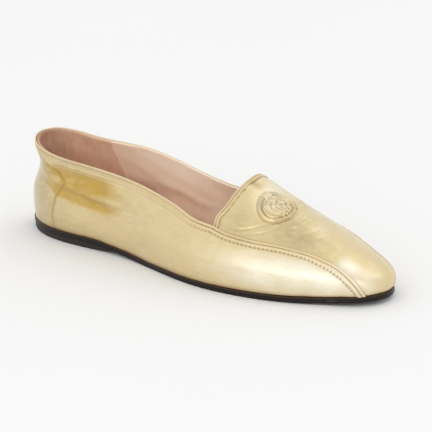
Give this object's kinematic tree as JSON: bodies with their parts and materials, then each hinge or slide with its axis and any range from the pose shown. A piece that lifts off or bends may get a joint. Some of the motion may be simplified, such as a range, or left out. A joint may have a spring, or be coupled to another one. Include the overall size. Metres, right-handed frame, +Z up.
{
  "type": "loafer",
  "caption": "Right flat slip-on loafer with a soft leather upper, tongue tab, thin flat sole, low heel lift and insole.",
  "frame": {"origin": "on the floor plane, on the heel lift's flat underside, 30 mm ahead of the sole's back edge on its centre line", "axes": "+X forward to the toe, +Y to the inner (medial) side of the right foot, +Z up"},
  "size_m": [0.2504, 0.0762, 0.0554],
  "materials": {
    "gold_leather": "metallic foil on soft leather, satin gloss",
    "black_sole": "black dyed edge, semi-matt",
    "black_rubber": "matt",
    "pink_lining": "unfinished lining leather, matt"
  },
  "bodies": {
    "root": {"upper": "gold_leather", "outsole": "black_sole", "heel_lift": "black_rubber", "insole": "pink_lining"}
  },
  "joints": []
}
